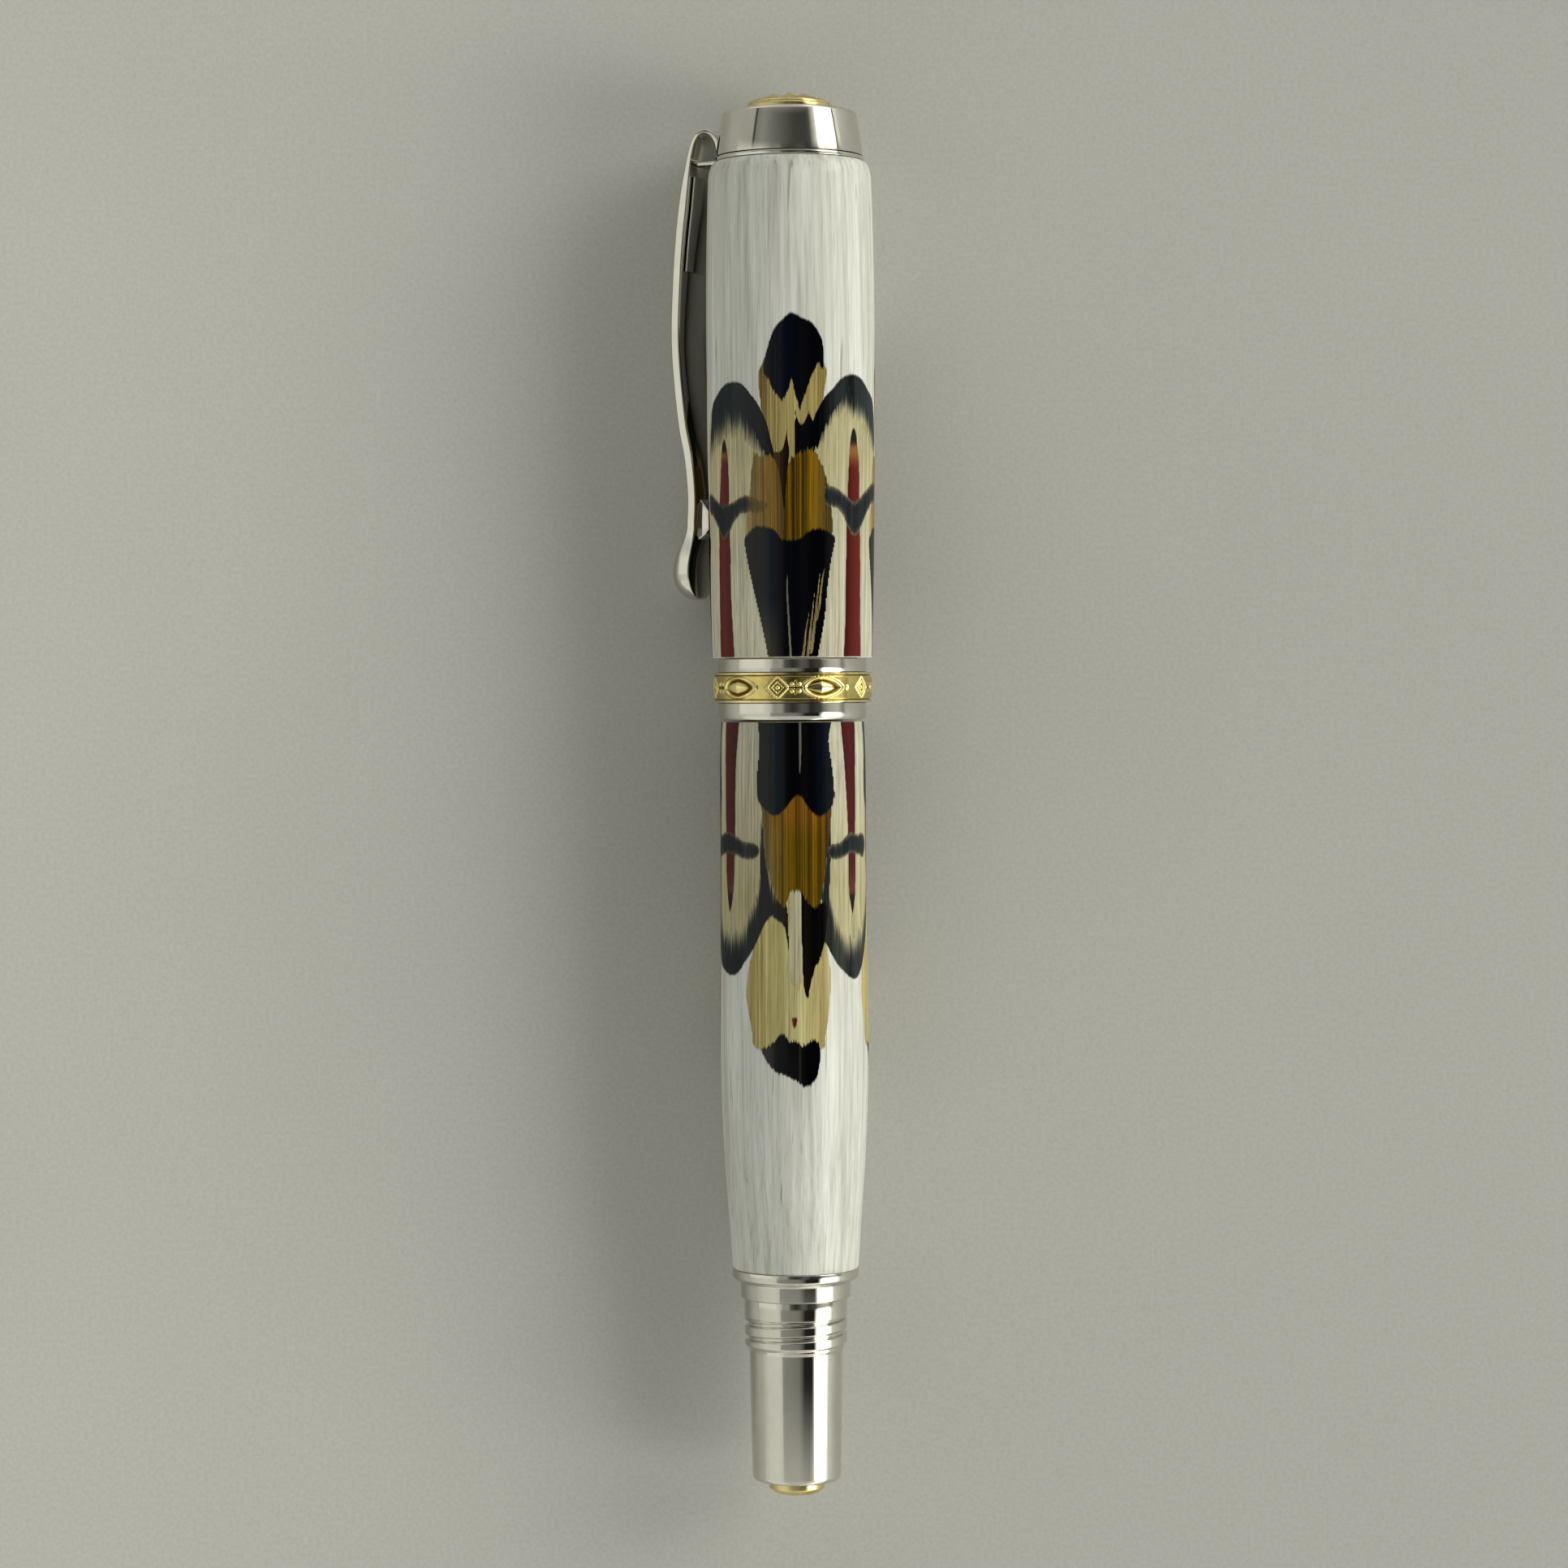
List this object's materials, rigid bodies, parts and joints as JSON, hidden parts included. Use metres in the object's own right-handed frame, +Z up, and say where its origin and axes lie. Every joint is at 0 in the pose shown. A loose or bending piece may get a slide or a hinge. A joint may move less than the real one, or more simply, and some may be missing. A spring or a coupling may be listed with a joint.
{
  "type": "capped fountain pen",
  "caption": "Capped quill-style fountain pen: feather-inlaid resin cap and barrel, chrome fittings, gold relief band, side clip, screw cap, nib section and piston converter.",
  "frame": {"origin": "on the table, below the middle of the pen's axis; the axis runs 8.36 mm above it", "axes": "+Y along the pen towards the cap's finial, +Z up from the table, +X to the side away from the clip"},
  "size_m": [0.0204, 0.1377, 0.0167],
  "materials": {
    "resin": "polished clear resin over white feather",
    "feather": "natural feather vane",
    "chrome": "mirror",
    "gold": "polished gold plate",
    "brass": "turned",
    "steel": "polished",
    "black_plastic": "moulded",
    "rubber": "matt",
    "clear_plastic": "clear"
  },
  "bodies": {
    "barrel": {"barrel_sleeve": "resin", "barrel_feather_inlay": "feather", "barrel_tube": "brass", "barrel_front_bush": "brass", "rear_coupler": "chrome", "tail_body": "chrome", "tail_medallion": "gold"},
    "section_seal": {"section_o_ring": "rubber"},
    "section_core": {"section_collar": "brass"},
    "section": {"section_grip": "black_plastic", "section_trim_ring": "chrome", "nib_housing": "black_plastic", "nib": "steel", "feed": "black_plastic"},
    "converter": {"converter_mouth": "black_plastic", "converter_tube": "clear_plastic", "converter_band": "chrome"},
    "converter_knob": {"converter_knob": "black_plastic"},
    "piston": {"converter_piston": "rubber", "converter_rod": "steel"},
    "cap_liner": {"inner_cap": "black_plastic"},
    "cap_core": {"cap_tube": "brass"},
    "cap": {"cap_sleeve": "resin", "cap_feather_inlay": "feather", "cap_top_bush": "brass", "finial_body": "chrome", "finial_medallion": "gold", "finial_screw": "steel", "clip_ring": "chrome", "band_core": "brass", "band_upper_ring": "chrome", "band_gold": "gold", "band_lower_ring": "chrome"},
    "clip": {"clip_arm": "chrome", "clip_tongue": "chrome"}
  },
  "joints": [
    {"name": "section_pull", "type": "slide", "parent": "barrel", "child": "section_seal", "axis": [0, 1, 0], "range_m": [0, 0.06]},
    {"name": "section_screw_travel", "type": "slide", "parent": "section_seal", "child": "section_core", "axis": [0, 1, 0], "range_m": [0, 0.0045]},
    {"name": "section_turn", "type": "hinge", "parent": "section_core", "child": "section", "pos_m": [0, 0, 0.00836], "axis": [0, 1, 0], "range_deg": [0, 2163]},
    {"name": "cap_pull", "type": "slide", "parent": "section", "child": "cap_liner", "axis": [0, 1, 0], "range_m": [0, 0.06]},
    {"name": "cap_screw_travel", "type": "slide", "parent": "cap_liner", "child": "cap_core", "axis": [0, 1, 0], "range_m": [0, 0.003]},
    {"name": "cap_turn", "type": "hinge", "parent": "cap_core", "child": "cap", "pos_m": [0, 0, 0.00836], "axis": [0, 1, 0], "range_deg": [0, 722]},
    {"name": "clip_flex", "type": "hinge", "parent": "cap", "child": "clip", "pos_m": [-0.00658, 0.06262, 0.00456], "axis": [0.5, 0, -0.866], "range_deg": [0, 4], "stiffness_Nm_per_rad": 2},
    {"name": "converter_pull", "type": "slide", "parent": "section", "child": "converter", "axis": [0, -1, 0], "range_m": [0, 0.005]},
    {"name": "converter_knob_turn", "type": "hinge", "parent": "converter", "child": "converter_knob", "pos_m": [0, 0, 0.00836], "axis": [0, 1, 0], "range_deg": [0, 1444]},
    {"name": "piston_travel", "type": "slide", "parent": "converter", "child": "piston", "axis": [0, -1, 0], "range_m": [0, 0.016]}
  ],
  "couplings": [
    {"joint": "section_turn", "follows": "section_screw_travel", "rad_per_m": 8377.6},
    {"joint": "cap_turn", "follows": "cap_screw_travel", "rad_per_m": 4188.8},
    {"joint": "converter_knob_turn", "follows": "piston_travel", "rad_per_m": 1570.8}
  ]
}
